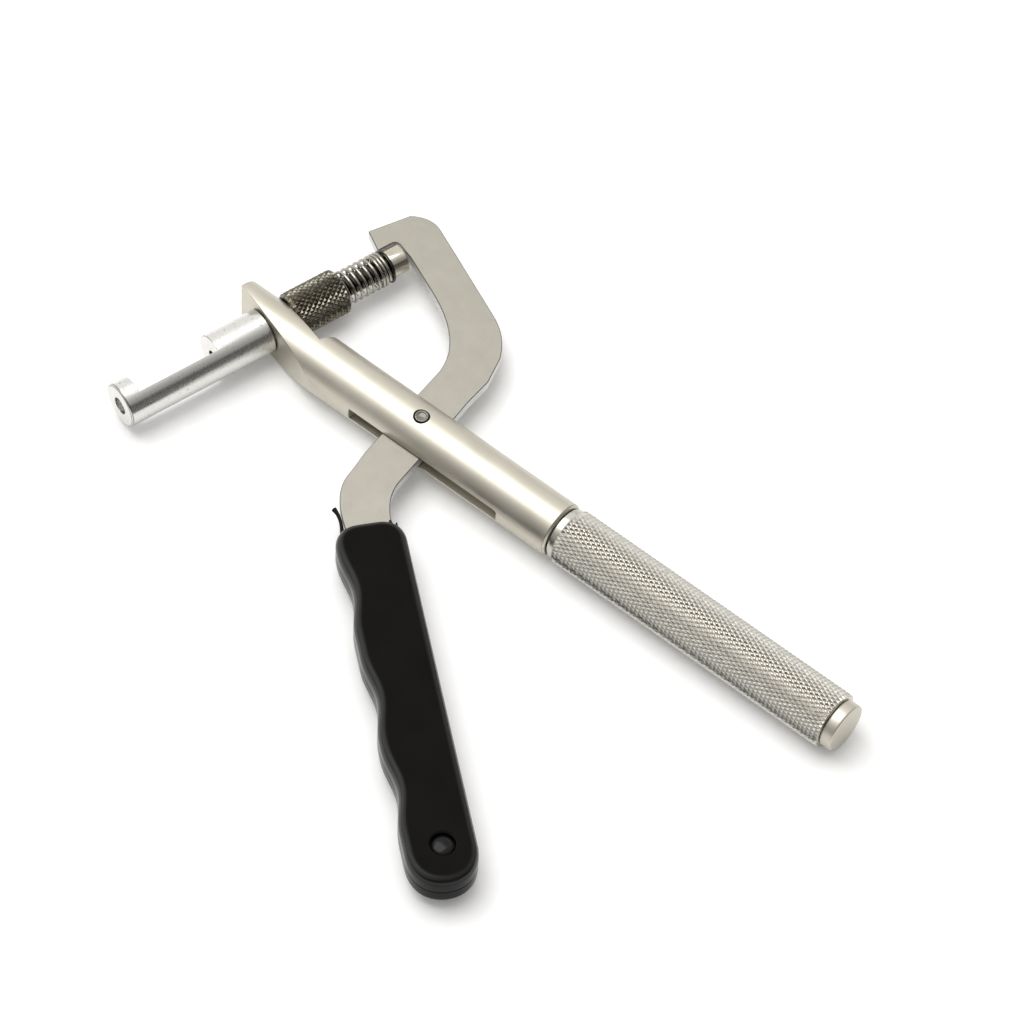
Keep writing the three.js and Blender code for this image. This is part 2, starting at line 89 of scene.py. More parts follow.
class Look:
    """A node material with a Principled shader and short ways to add texture nodes."""

    def __init__(self, name, **sockets):
        self.material = bpy.data.materials.new(name)
        self.material.use_nodes = True
        self.tree = self.material.node_tree
        self.shader = self.tree.nodes["Principled BSDF"]
        for socket, value in sockets.items():
            self.shader.inputs[socket.replace("_", " ")].default_value = value
        coordinates = self.tree.nodes.new("ShaderNodeTexCoord")
        self.place = coordinates.outputs["Object"]

    def link(self, output, socket):
        self.tree.links.new(output, socket)

    def noise(self, scale, detail=3.0, stretch=(1, 1, 1), turn=0.0):
        mapping = self.tree.nodes.new("ShaderNodeMapping")
        mapping.inputs["Scale"].default_value = stretch
        mapping.inputs["Rotation"].default_value = (0, 0, turn)
        texture = self.tree.nodes.new("ShaderNodeTexNoise")
        texture.inputs["Scale"].default_value = scale
        texture.inputs["Detail"].default_value = detail
        self.link(self.place, mapping.inputs["Vector"])
        self.link(mapping.outputs["Vector"], texture.inputs["Vector"])
        return texture.outputs["Fac"]

    def ramp(self, factor, stops):
        node = self.tree.nodes.new("ShaderNodeValToRGB")
        elements = node.color_ramp.elements
        while len(elements) < len(stops):
            elements.new(0.5)
        for element, (position, color) in zip(elements, stops):
            element.position = position
            element.color = color if len(color) == 4 else (*color, 1)
        self.link(factor, node.inputs["Fac"])
        return node.outputs["Color"]

    def spread(self, factor, low, high, start=0.3, end=0.7):
        node = self.tree.nodes.new("ShaderNodeMapRange")
        values = {"From Min": start, "From Max": end, "To Min": low, "To Max": high}
        for socket, value in values.items():
            node.inputs[socket].default_value = value
        self.link(factor, node.inputs["Value"])
        return node.outputs["Result"]

    def bump(self, height, strength, distance, base=None):
        node = self.tree.nodes.new("ShaderNodeBump")
        node.inputs["Strength"].default_value = strength
        node.inputs["Distance"].default_value = distance
        self.link(height, node.inputs["Height"])
        if base is not None:
            self.link(base, node.inputs["Normal"])
        return node.outputs["Normal"]

    def along(self, axis, start, end, middle=0.0):
        """0 to 1 over a run of heights along an axis, or of distances from a middle."""
        split = self.tree.nodes.new("ShaderNodeSeparateXYZ")
        self.link(self.place, split.inputs["Vector"])
        off = self.tree.nodes.new("ShaderNodeMath")
        off.operation = "SUBTRACT"
        off.inputs[1].default_value = middle
        self.link(split.outputs[axis], off.inputs[0])
        size = self.tree.nodes.new("ShaderNodeMath")
        size.operation = "ABSOLUTE"
        self.link(off.outputs["Value"], size.inputs[0])
        return self.spread(size.outputs["Value"], 0, 1, start, end)

    def edges(self):
        """The factor kept on a piece's mesh: 1 on its broken edges, which are painted dark as
        painted shade, and the middle mark on the faces painted lighter as painted light.
        """
        node = self.tree.nodes.new("ShaderNodeAttribute")
        node.attribute_name = "edge"
        return node.outputs["Fac"]

    def mixed(self, factor, first, second):
        node = self.tree.nodes.new("ShaderNodeMix")
        node.data_type = "RGBA"
        self.link(factor, node.inputs["Factor"])
        for socket, value in ((node.inputs[6], first), (node.inputs[7], second)):
            if isinstance(value, tuple):
                socket.default_value = (*value, 1)
            else:
                self.link(value, socket)
        return node.outputs[2]

    def off_face(self, face, cut, edge):
        """A tone for the faces, a lighter one painted as painted light on the marked faces, and a
        dark one painted as painted shade on broken edges.
        """
        marked = self.spread(self.edges(), 0, 1, 0, PAINTED_LIGHT_MARK)
        return self.mixed(marked, face, self.ramp(self.edges(), [(PAINTED_LIGHT_MARK, cut), (1.0, edge)]))

    def set(self, socket, output):
        self.link(output, self.shader.inputs[socket])


def grey(value, warm=0.0):
    return (value, value * (1 - 0.28 * warm), value * (1 - warm))


def satin_steel():
    look = Look("satin steel", Metallic=1.0, IOR=2.2)
    blast = look.noise(5200, 2)
    cloud = look.noise(160, 4)
    metal = look.ramp(cloud, [(0.3, grey(0.54, 0.19)), (0.7, grey(0.58, 0.18))])
    # The body's slot faces are painted lighter, as painted light in the slot, and its broken
    # edges darker, as a painted dark line of shade.
    look.set("Base Color", look.off_face(metal, grey(0.68, 0.17), grey(0.42, 0.19)))
    look.set("Roughness", look.spread(cloud, 0.38, 0.46))
    look.set("Normal", look.bump(blast, 0.25, 0.02 * MM))
    return look.material


def plate_steel():
    look = Look("plate steel", Metallic=0.75, IOR=1.8)
    tumble = look.noise(2600, 4)
    cloud = look.noise(240, 5)
    metal = look.ramp(cloud, [(0.3, grey(0.305, 0.19)), (0.7, grey(0.33, 0.18))])
    # The side walls are painted light grey as a painted reflection of the white floor, and the
    # broken edges near black as a painted dark line of shade.
    look.set("Base Color", look.off_face(metal, grey(0.66, 0.0), grey(0.05, 0.2)))
    look.set("Roughness", look.spread(tumble, 0.40, 0.52))
    look.set("Normal", look.bump(tumble, 0.35, 0.03 * MM))
    return look.material


def polished_aluminium():
    look = Look("polished aluminium", Metallic=1.0, IOR=1.6)
    lines = look.noise(900, 3, stretch=(1, 6, 1), turn=math.atan2(push_dir.x, push_dir.y))
    specks = look.noise(1500, 2)
    metal = look.ramp(specks, [
        (0.0, grey(0.68, 0.05)), (0.66, grey(0.68, 0.05)), (0.72, grey(0.40, 0.08)),
    ])
    # The broken edges are painted darker, as a painted dark line of shade.
    look.set("Base Color", look.mixed(look.edges(), metal, grey(0.3, 0.08)))
    look.set("Roughness", look.spread(lines, 0.16, 0.30))
    look.set("Normal", look.bump(lines, 0.12, 0.02 * MM))
    return look.material


def plain_metal(name, scale, dark, light, warm, smooth, rough):
    """A bare metal whose tone and roughness both drift with one noise."""
    look = Look(name, Metallic=1.0, IOR=2.0)
    drift = look.noise(scale, 4)
    look.set("Base Color", look.ramp(drift, [(0.3, grey(dark, warm)), (0.7, grey(light, warm))]))
    look.set("Roughness", look.spread(drift, smooth, rough))
    return look.material


def black_plastic():
    look = Look("black moulded plastic", IOR=1.5)
    grain = look.noise(2400, 3)
    cloud = look.noise(120, 3)
    look.set("Base Color", look.ramp(cloud, [
        (0.3, (0.0034, 0.0030, 0.0027)), (0.7, (0.0052, 0.0047, 0.0043)),
    ]))
    # The flat faces are finely grained and dull, the rounded rim is glossy, and the side
    # wall below it shines less.
    rim = look.along("Z", 4.33 * MM, 4.0 * MM, pivot.z)
    wall = look.along("Z", 3.6 * MM, 2.6 * MM, pivot.z)
    shine = look.ramp(wall, [(0.0, grey(0.55)), (1.0, grey(0.1))])
    look.set("Roughness", look.spread(rim, 0.5, 0.2, 0, 1))
    look.set("Specular IOR Level", look.mixed(rim, (0.04, 0.04, 0.04), shine))
    look.set("Normal", look.bump(grain, 0.14, 0.03 * MM))
    return look.material


def black_steel():
    look = Look("blackened steel", IOR=1.5, Specular_IOR_Level=0.16)
    haze = look.noise(1500, 3)
    look.set("Base Color", look.ramp(haze, [(0.3, grey(0.006)), (0.7, grey(0.010))]))
    look.set("Roughness", look.spread(haze, 0.12, 0.22))
    return look.material


LOOKS = {
    "satin_steel": satin_steel(),
    "plate_steel": plate_steel(),
    "polished_aluminium": polished_aluminium(),
    "bright_nickel": plain_metal("bright nickel", 700, 0.50, 0.58, 0.22, 0.06, 0.13),
    "spring_wire": plain_metal("spring wire", 900, 0.34, 0.44, 0.17, 0.08, 0.16),
    # Near-black nickel, painted on the washers and the push rod as painted shade between the
    # spring, nut and button.
    "painted_shade_nickel": plain_metal("dark nickel", 900, 0.04, 0.08, 0.2, 0.1, 0.2),
    "dark_knurl": plain_metal("dark nickel knurl", 1400, 0.07, 0.25, 0.27, 0.12, 0.22),
    "handle_knurl": plain_metal("satin knurl", 900, 0.50, 0.60, 0.11, 0.22, 0.32),
    "tool_steel": plain_metal("ground tool steel", 2200, 0.26, 0.36, 0.06, 0.25, 0.4),
    "worn_pin": plain_metal("worn pin", 2600, 0.10, 0.30, 0.14, 0.3, 0.5),
    "black_plastic": black_plastic(),
    "black_steel": black_steel(),
}


# ---- Mesh helpers -------------------------------------------------------------------
def bake(piece):
    """Keeps what a piece's modifiers make as its mesh, and takes the modifiers off."""
    bpy.context.view_layer.update()
    evaluated = piece.evaluated_get(bpy.context.evaluated_depsgraph_get())
    mesh = bpy.data.meshes.new_from_object(evaluated)
    piece.modifiers.clear()
    piece.data = mesh


def finish_piece(name, bm, body, slot, *cad_nodes, matrix=None, smooth_below=35, even=False,
                 look=None):
    """Places a finished bmesh, shades it, and makes it ride, stand for its nodes and match."""
    if matrix is not None:
        bmesh.ops.transform(bm, matrix=matrix, verts=bm.verts)
    limit = math.radians(smooth_below)
    for edge in bm.edges:
        edge.smooth = edge.calc_face_angle(0) < limit
    for face in bm.faces:
        face.smooth = True
    mesh = bpy.data.meshes.new(name)
    bm.to_mesh(mesh)
    bm.free()
    mesh.materials.append(LOOKS[look or slot])
    piece = bpy.data.objects.new(name, mesh)
    bpy.context.scene.collection.objects.link(piece)
    if even:
        modifier = piece.modifiers.new("even", "WEIGHTED_NORMAL")
        modifier.keep_sharp = True
        bake(piece)
    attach(piece, body)
    if cad_nodes:
        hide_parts(*cad_nodes)
    return piece


def rounded(profile, radius, steps=4):
    """Rounds the inner corners of an open profile of (radius, height) points."""
    points = [Vector(p) for p in profile]
    out = [points[0]]
    for before, corner, after in zip(points, points[1:], points[2:]):
        to_before, to_after = before - corner, after - corner
        reach = min(radius, to_before.length * 0.45, to_after.length * 0.45)
        start = corner + to_before.normalized() * reach
        end = corner + to_after.normalized() * reach
        for i in range(steps + 1):
            t = i / steps
            out.append(start.lerp(corner, t).lerp(corner.lerp(end, t), t))
    out.append(points[-1])
    return out


def turned(profile, steps=96):
    """Spins a profile of (radius, height) points, in metres, round the Z axis."""
    bm = bmesh.new()
    verts = [bm.verts.new((r, 0, z)) for r, z in profile]
    edges = [bm.edges.new(pair) for pair in zip(verts, verts[1:])]
    bmesh.ops.spin(bm, geom=verts + edges, cent=(0, 0, 0), axis=(0, 0, 1),
                   angle=TURN, steps=steps, use_merge=True)
    bmesh.ops.remove_doubles(bm, verts=bm.verts, dist=1e-7)
    bmesh.ops.recalc_face_normals(bm, faces=bm.faces)
    return bm


def from_node(name, edge=0.12 * MM, sharp=30, keep=None):
    """A copy of a CAD node's solid, merged, with its sharp edges broken, except along keep."""
    source = nodes[name].data
    bm = bmesh.new()
    mark = bm.faces.layers.float.new("edge")
    verts = [bm.verts.new(vert.co) for vert in source.vertices]
    for polygon in source.polygons:
        bm.faces.new([verts[i] for i in polygon.vertices])
    bmesh.ops.remove_doubles(bm, verts=bm.verts, dist=2e-6)
    bmesh.ops.dissolve_limit(bm, angle_limit=math.radians(0.6), verts=bm.verts,
                             edges=bm.edges)
    limit = math.radians(sharp)
    edges = [e for e in bm.edges if e.calc_face_angle(0) > limit and not (
        keep and abs((e.verts[0].co - e.verts[1].co).normalized().dot(keep)) > 0.99)]
    strips = bmesh.ops.bevel(bm, geom=edges, offset=edge, affect="EDGES", segments=2,
                             profile=0.5, material=-1, clamp_overlap=False)["faces"]
    # The broken edges are marked for a painted dark line of shade.
    for face in strips:
        face[mark] = 1
    return bm


def mark_painted_light_faces(bm, takes_painted_light):
    """Marks the faces that are painted lighter, as painted light."""
    bm.normal_update()
    mark = bm.faces.layers.float["edge"]
    for face in bm.faces:
        if not face[mark] and takes_painted_light(face):
            face[mark] = PAINTED_LIGHT_MARK
    return bm


def knurl_sheet(radius, depth, start, end, around, along, flat=22):
    """A rolled sheet of diamond knurling round Z: truncated pyramids between two V grooves."""
    bm = bmesh.new()
    bmesh.ops.create_grid(bm, x_segments=2 * around, y_segments=2 * along, size=0.5)
    width = TURN * radius
    peaks, valleys = [], []
    for vert in bm.verts:
        column = round((vert.co.x + 0.5) * 2 * around)
        row = round((vert.co.y + 0.5) * 2 * along)
        raised = (column + row) % 2 == 0
        (peaks if raised else valleys).append(vert)
        vert.co.z = 0 if raised else -depth
    bmesh.ops.connect_verts(bm, verts=valleys)
    for vert in bm.verts:
        vert.co.x *= width
        vert.co.y = start + (vert.co.y + 0.5) * (end - start)
    inner = [v for v in peaks if not v.is_boundary]
    bmesh.ops.bevel(bm, geom=inner, offset=flat, offset_type="PERCENT", affect="VERTICES",
                    segments=1, profile=0.5, material=-1)
    top = max(v.co.z for v in bm.verts if not v.is_boundary)
    for vert in bm.verts:
        reach = radius + min(vert.co.z - top, 0)
        angle = vert.co.x / radius
        vert.co = (reach * math.cos(angle), reach * math.sin(angle), vert.co.y)
    bmesh.ops.remove_doubles(bm, verts=bm.verts, dist=1e-7)
    return bm


def boundary_loop(bm, z):
    return [e for e in bm.edges if e.is_boundary
            and all(abs(v.co.z - z) < 1e-6 for v in e.verts)]


def extend_loop(bm, edges, radius, z):
    """Extrudes a round boundary to another radius and height, and returns its new edges."""
    made = bmesh.ops.extrude_edge_only(bm, edges=edges)["geom"]
    for vert in (g for g in made if isinstance(g, bmesh.types.BMVert)):
        flat = Vector((vert.co.x, vert.co.y)).normalized() * radius
        vert.co = (flat.x, flat.y, z)
    return [g for g in made if isinstance(g, bmesh.types.BMEdge)]


def knurled_tube(radius, depth, start, end, around, along, low_steps, high_steps, flat=22):
    """A knurled sleeve closed by turned ends: each step is (radius, height), to the bore."""
    bm = knurl_sheet(radius, depth, start, end, around, along, flat)
    low = boundary_loop(bm, start)
    high = boundary_loop(bm, end)
    for reach, z in low_steps:
        low = extend_loop(bm, low, reach, z)
    for reach, z in high_steps:
        high = extend_loop(bm, high, reach, z)
    bmesh.ops.bridge_loops(bm, edges=low + high)
    bmesh.ops.recalc_face_normals(bm, faces=bm.faces)
    return bm


# ---- Body, pivot and anvil ----------------------------------------------------------
def make_body():
    plate_low, plate_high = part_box("lever_plate")
    slot_clearance = 0.6 * MM
    slot_half = (plate_high.z - plate_low.z) / 2 + slot_clearance

    def in_slot(face):
        """Its roof, floor and ends, but not the bar's round face beside it."""
        low_enough = all(abs(vert.co.z - pivot.z) < slot_half for vert in face.verts)
        return low_enough and abs(face.normal.y) < 0.7

    # The slot's roof, floor and ends are painted lighter, as painted light in the slot.
    finish_piece("body_bar_finished", mark_painted_light_faces(from_node("body_bar", 0.14 * MM), in_slot),
                 "body", "satin_steel", "body_bar", even=True)


def make_pivot_pin():
    low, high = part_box("pivot_pin")
    radius = (high.x - low.x) / 2
    half = (high.z - low.z) / 2
    eye = 0.7 * radius
    profile = [(0, -half), *rounded([
        (0.9 * radius, -half), (radius, -half), (radius, half), (eye, half),
        (eye, half - 0.25 * MM), (0.3 * eye, half - 0.3 * MM), (0, half - 0.42 * MM),
    ], 0.16 * MM)]
    bm = turned(profile, 48)
    finish_piece("pivot_pin_finished", bm, "body", "tool_steel", "pivot_pin", matrix=ON_PIVOT,
                 smooth_below=50, look="worn_pin")


def make_anvil():
    finish_piece("anvil_bar_finished", from_node("anvil_bar", 0.14 * MM, keep=push_dir), "body",
                 "polished_aluminium", "anvil_bar", even=True)


# ---- Handle and cap -----------------------------------------------------------------
def make_handle():
    radius = (handle_high.y - handle_low.y) / 2
    bore = 4.8 * MM
    collar = radius - 0.4 * MM
    groove = radius - 0.9 * MM
    start, end = handle_low.x, handle_high.x
    knurl_start, knurl_end = start + 1.9 * MM, end - 0.15 * MM
    low = [(collar, start + 1.5 * MM), (collar, start + 0.6 * MM), (groove, start + 0.5 * MM),
           (groove, start), (bore, start)]
    high = [(radius - 0.55 * MM, end), (bore, end)]
    bm = knurled_tube(radius, 0.42 * MM, knurl_start, knurl_end, 40, 35, low, high)
    finish_piece("knurled_handle_finished", bm, "body", "satin_steel", "knurled_handle",
                 matrix=ON_HANDLE, smooth_below=25, look="handle_knurl")


def make_end_cap():
    radius = (cap_high.y - cap_low.y) / 2
    spigot = 4.5 * MM
    start, end = cap_low.x, cap_high.x
    flange = handle_high.x + 0.05 * MM
    profile = [(0, start), *rounded([
        (0.8 * spigot, start), (spigot, start), (spigot, flange), (radius, flange),
        (radius, end), (0.8 * radius, end), (0, end),
    ], 0.45 * MM)]
    finish_piece("end_cap_finished", turned(profile), "end_cap", "satin_steel", "end_cap",
                 matrix=ON_HANDLE)


def make_spare_punches():
    for index in range(1, 4):
        node = f"spare_punch_{index}"
        finish_piece(f"{node}_finished", from_node(node, 0.05 * MM), "body", "tool_steel", node)


# ---- Pusher train -------------------------------------------------------------------
def along_pusher(node):
    """Lowest and highest place of a node along the pusher axis, from the head."""
    places = [(v.co - head).dot(push_dir) for v in nodes[node].data.vertices]
    return min(places), max(places)


def make_clamp_nut():
    start, end = along_pusher("clamp_nut")
    radius = 5.25 * MM
    bore, well = 3.9 * MM, 4.35 * MM
    knurl_start, knurl_end = start + 0.75 * MM, end - 0.45 * MM
    low = [(radius - 0.5 * MM, start + 0.1 * MM), (radius - 0.7 * MM, start), (bore, start)]
    high = [(radius - 0.5 * MM, end - 0.1 * MM), (radius - 0.62 * MM, end), (well, end),
            (well, start + 4 * MM), (bore, start + 4 * MM)]
    bm = knurled_tube(radius, 0.38 * MM, knurl_start, knurl_end, 27, 8, low, high, 18)
    finish_piece("clamp_nut_finished", bm, "clamp_nut", "dark_knurl", "clamp_nut",
                 matrix=ON_PUSHER, smooth_below=25)


def make_washer(node, body):
    start, end = along_pusher(node)
    inner, outer = 2.5 * MM, 3.95 * MM
    profile = rounded([
        (inner, (start + end) / 2), (inner, start), (outer, start), (outer, end), (inner, end),
        (inner, (start + end) / 2),
    ], 0.15 * MM)
    # The washer is painted near black, as painted shade in the gap at the spring's end.
    finish_piece(f"{node}_finished", turned(profile, 64), body, "bright_nickel", node,
                 matrix=ON_PUSHER, look="painted_shade_nickel")


def make_spring():
    """A coil with closed ends: the wire's section is spun and carried along the axis."""
    start, end = along_pusher("return_spring")
    wire = 0.36 * MM
    middle = 4.05 * MM - wire
    steps = 28
    closed = 2.35 * wire
    low_turns, high_turns = 1.5, 2.5
    length = end - start - 2 * wire
    open_length = length - closed * (low_turns + high_turns)
    bm = bmesh.new()
    section = bmesh.ops.create_circle(bm, segments=12, radius=wire, matrix=Matrix.Translation(
        (middle, 0, start + wire)) @ Matrix.Rotation(math.pi / 2, 4, "X"))
    ring = {e for v in section["verts"] for e in v.link_edges}
    geometry = section["verts"] + list(ring)
    for turns, advance in ((low_turns, closed * low_turns), (10, open_length),
                           (high_turns, closed * high_turns)):
        count = round(turns * steps)
        made = bmesh.ops.spin(bm, geom=geometry, cent=(0, 0, 0), axis=(0, 0, 1),
                              angle=TURN * turns, steps=count, dvec=(0, 0, advance / count))
        geometry = made["geom_last"]
    bmesh.ops.holes_fill(bm, edges=[e for e in bm.edges if e.is_boundary])
    bmesh.ops.recalc_face_normals(bm, faces=bm.faces)
    piece = finish_piece("return_spring_finished", bm, "body", "bright_nickel", "return_spring",
                         matrix=ON_PUSHER, smooth_below=60, look="spring_wire")
    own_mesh(piece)


def make_rod():
    start, end = along_pusher("push_rod")
    radius = 2.2 * MM
    profile = [(0, start), *rounded([(0.6 * radius, start), (radius, start), (radius, end),
                                     (0.6 * radius, end), (0, end)], 0.3 * MM)]
    # The rod is painted near black, as painted shade between the spring's coils.
    finish_piece("push_rod_finished", turned(profile, 64), "pusher", "tool_steel",
                 "push_rod", matrix=ON_PUSHER, look="painted_shade_nickel")


def make_button():
    start, end = along_pusher("push_button")
    radius = 3.2 * MM
    socket = 2.5 * MM
    dome = 0.9 * MM
    shoulder = end - dome
    ball = (radius ** 2 + dome ** 2) / (2 * dome)
    half_angle = math.asin(radius / ball)
    profile = rounded([
        (0, start + 2.2 * MM), (socket, start + 2.2 * MM), (socket, start), (radius, start),
        (radius, shoulder),
    ], 0.2 * MM)
    steps = 14
    for i in range(1, steps + 1):
        angle = half_angle * (1 - i / steps)
        profile.append((ball * math.sin(angle), end - ball * (1 - math.cos(angle))))
    finish_piece("push_button_finished", turned(profile), "pusher", "bright_nickel",
                 "push_button", matrix=ON_PUSHER, smooth_below=50)


def make_punch():
    for node in ("punch_holder", "punch_pin"):
        finish_piece(f"{node}_finished", from_node(node, 0.05 * MM), "pusher", "tool_steel", node)


# ---- Lever and grip -----------------------------------------------------------------
GRIP_ANGLE = math.radians(-39.3)
ON_GRIP = ON_PIVOT @ Matrix.Rotation(GRIP_ANGLE, 4, "Z")
# In mm from here to the flash, along and across the grip from the pivot.
GRIP_START, GRIP_END = 22.8, 112.62
GRIP_INNER, GRIP_OUTER = -8.5, -23.8
GRIP_THICKNESS = 8.7
GRIP_ROUNDING = 2.0
GRIP_CORNER = 3.6
GRIP_END_ROUND = 6.6
END_FULLNESS = 0.62
HOLLOW_PLACES = (39.2, 66.0, 88.3)
HOLLOW_REACH, HOLLOW_DEPTH = 10.6, 1.55
TANG_CENTRE = -15.7
TANG_HALF = 5.3
TANG_END = 108.3
SCREW_PLACE = 103.5
SCREW_WELL = 2.7
SCREW_RECESS = 1.7


def make_lever_plate():
    # The side walls are marked to be painted lighter, as a painted reflection of the floor, and
    # the broken edges dark, as painted shade.
    bm = mark_painted_light_faces(from_node("lever_plate", 0.16 * MM), lambda face: abs(face.normal.z) < 0.3)
    finish_piece("lever_plate_finished", bm, "lever", "plate_steel", "lever_plate", even=True)


def curve(points, steps):
    """Points on a Bezier curve of any degree, without its first point."""
    out = []
    for i in range(1, steps + 1):
        level = [Vector(p) for p in points]
        t = i / steps
        while len(level) > 1:
            level = [a.lerp(b, t) for a, b in zip(level, level[1:])]
        out.append(level[0])
    return out


def hollow_at(place):
    """How far the finger hollows cut into the grip's edge at a place along it."""
    depth = 0
    for deepest in HOLLOW_PLACES:
        away = abs(place - deepest) / HOLLOW_REACH
        if away < 1:
            depth += HOLLOW_DEPTH * math.cos(away * math.pi / 2) ** 2
    return depth


def grip_outline():
    """The grip's edge before its rounding is added."""
    start, end = GRIP_START + GRIP_ROUNDING, GRIP_END - GRIP_ROUNDING
    inner, outer = GRIP_INNER - GRIP_ROUNDING, GRIP_OUTER + GRIP_ROUNDING
    middle = (inner + outer) / 2
    turn = end - GRIP_END_ROUND
    reach = turn + END_FULLNESS * GRIP_END_ROUND
    rise = END_FULLNESS * (inner - middle)
    points = [Vector((start, outer + GRIP_CORNER))]
    points += curve([points[-1], (start, outer), (start + GRIP_CORNER, outer)], 10)
    place = start + GRIP_CORNER + 0.8
    while place < turn - 0.4:
        points.append(Vector((place, outer + hollow_at(place))))
        place += 0.8
    points.append(Vector((turn, outer)))
    points += curve([points[-1], (reach, outer), (end, middle - rise), (end, middle)], 14)
    points += curve([points[-1], (end, middle + rise), (reach, inner), (turn, inner)], 14)
    points.append(Vector((start + GRIP_CORNER, inner)))
    points += curve([points[-1], (start, inner), (start, inner - GRIP_CORNER)], 10)
    return points


def grown(points, distance):
    """The outline moved outwards by a distance. It runs clockwise seen from below."""
    out = []
    for i, point in enumerate(points):
        along = (points[(i + 1) % len(points)] - points[i - 1]).normalized()
        out.append(point + Vector((along.y, -along.x)) * distance)
    return out


def slab(outline, low, high):
    """A closed prism on an outline in mm, from one height to another."""
    bm = bmesh.new()
    face = bm.faces.new([bm.verts.new((x * MM, y * MM, low * MM)) for x, y in outline])
    made = bmesh.ops.extrude_face_region(bm, geom=[face])["geom"]
    top = [g for g in made if isinstance(g, bmesh.types.BMVert)]
    bmesh.ops.translate(bm, verts=top, vec=(0, 0, (high - low) * MM))
    bmesh.ops.recalc_face_normals(bm, faces=bm.faces)
    return bm


def carve(piece, cutter, matrix):
    """Cuts one closed bmesh out of a piece, and keeps the result as its mesh."""
    bmesh.ops.transform(cutter, matrix=matrix, verts=cutter.verts)
    bmesh.ops.recalc_face_normals(cutter, faces=cutter.faces)
    mesh = bpy.data.meshes.new("cutter")
    cutter.to_mesh(mesh)
    cutter.free()
    tool = bpy.data.objects.new("cutter", mesh)
    bpy.context.scene.collection.objects.link(tool)
    cut = piece.modifiers.new("cut", "BOOLEAN")
    cut.operation = "DIFFERENCE"
    cut.solver = "EXACT"
    cut.object = tool
    bake(piece)
    bpy.data.objects.remove(tool)


def tapered_rod(bm, path, sides=10):
    """Adds a closed rod along (place, radius) stations to a bmesh."""
    rings = []
    for i, (place, radius) in enumerate(path):
        before, after = path[max(i - 1, 0)][0], path[min(i + 1, len(path) - 1)][0]
        turn = (Vector(after) - Vector(before)).to_track_quat("Z", "X").to_matrix().to_4x4()
        made = bmesh.ops.create_circle(bm, segments=sides, radius=radius, cap_ends=i in (
            0, len(path) - 1), matrix=Matrix.Translation(place) @ turn)
        rings.append({e for v in made["verts"] for e in v.link_edges
                      if all(w in made["verts"] for w in e.verts)})
    for low, high in zip(rings, rings[1:]):
        bmesh.ops.bridge_loops(bm, edges=list(low | high))


# Moulding flash left at the mouth of the grip: each strand is a Bezier curve from root to
# tip, as (x, y, z, radius) in mm from the pivot.
FLASH = (
    ((4.9, -31.9, 0.3, 0.6), (2.6, -29.4, 0.5, 0.3), (1.0, -28.0, 0.6, 0.3),
     (-1.2, -27.5, 0.6, 0.6)),
    ((11.3, -23.4, 1.2, 0.8), (10.5, -22.8, 1.3, 0.5), (9.9, -22.3, 1.4, 0.15)),
    ((12.6, -23.2, 0.6, 0.6), (11.7, -22.2, 0.7, 0.35), (11.1, -21.5, 0.7, 0.12)),
)


def make_grip_half(name, side):
    half = GRIP_THICKNESS / 2
    split = 0.08
    outline = grown(grip_outline(), GRIP_ROUNDING)
    bm = slab(outline, split, half)
    rim = [e for e in bm.edges if all(abs(v.co.z - half * MM) < 1e-7 for v in e.verts)]
    bmesh.ops.bevel(bm, geom=rim, offset=GRIP_ROUNDING * MM, affect="EDGES", segments=7,
                    profile=0.5, material=-1, clamp_overlap=False)
    seam = [e for e in bm.edges if all(abs(v.co.z - split * MM) < 1e-7 for v in e.verts)]
    bmesh.ops.bevel(bm, geom=seam, offset=0.12 * MM, affect="EDGES", segments=2,
                    profile=0.5, material=-1, clamp_overlap=False)
    if side < 0:
        bmesh.ops.transform(bm, matrix=Matrix.Diagonal((1, 1, -1, 1)), verts=bm.verts)
        bmesh.ops.recalc_face_normals(bm, faces=bm.faces)
    blank = finish_piece(name + "_blank", bm, "lever", "black_plastic", matrix=ON_GRIP)
    pocket = slab([(0, TANG_CENTRE - TANG_HALF), (TANG_END, TANG_CENTRE - TANG_HALF),
                   (TANG_END, TANG_CENTRE + TANG_HALF), (0, TANG_CENTRE + TANG_HALF)],
                  -1.5, 1.5)
    carve(blank, pocket, ON_GRIP)
    place = ON_GRIP @ Matrix.Translation((SCREW_PLACE * MM, TANG_CENTRE * MM, 0))
    seat = (half - SCREW_RECESS) * MM
    wall = SCREW_WELL * MM
    far = half * MM + 0.25 * MM
    bore = [(0, -2 * far), (1.6 * MM, -2 * far), (1.6 * MM, 2 * far), (0, 2 * far)]
    well = [(0, seat), *rounded([(0.7 * wall, seat), (wall, seat), (wall, far - 0.6 * MM),
                                 (wall + 0.6 * MM, far), (0, far)], 0.25 * MM)]
    flip = Matrix.Diagonal((1, side, side, 1))
    for profile in (bore, well):
        carve(blank, turned(profile, 64), place @ flip)
    bm = bmesh.new()
    bm.from_mesh(blank.data)
    bpy.data.objects.remove(blank)
    if side > 0:
        for strand in FLASH:
            path = [Vector(strand[0]), *curve(strand, 8)]
            tapered_rod(bm, [(pivot + p.xyz * MM, p.w * MM) for p in path])
    bmesh.ops.recalc_face_normals(bm, faces=bm.faces)
    finish_piece(name, bm, "lever", "black_plastic",
                 "grip_upper_half" if side > 0 else "grip_lower_half", even=True)


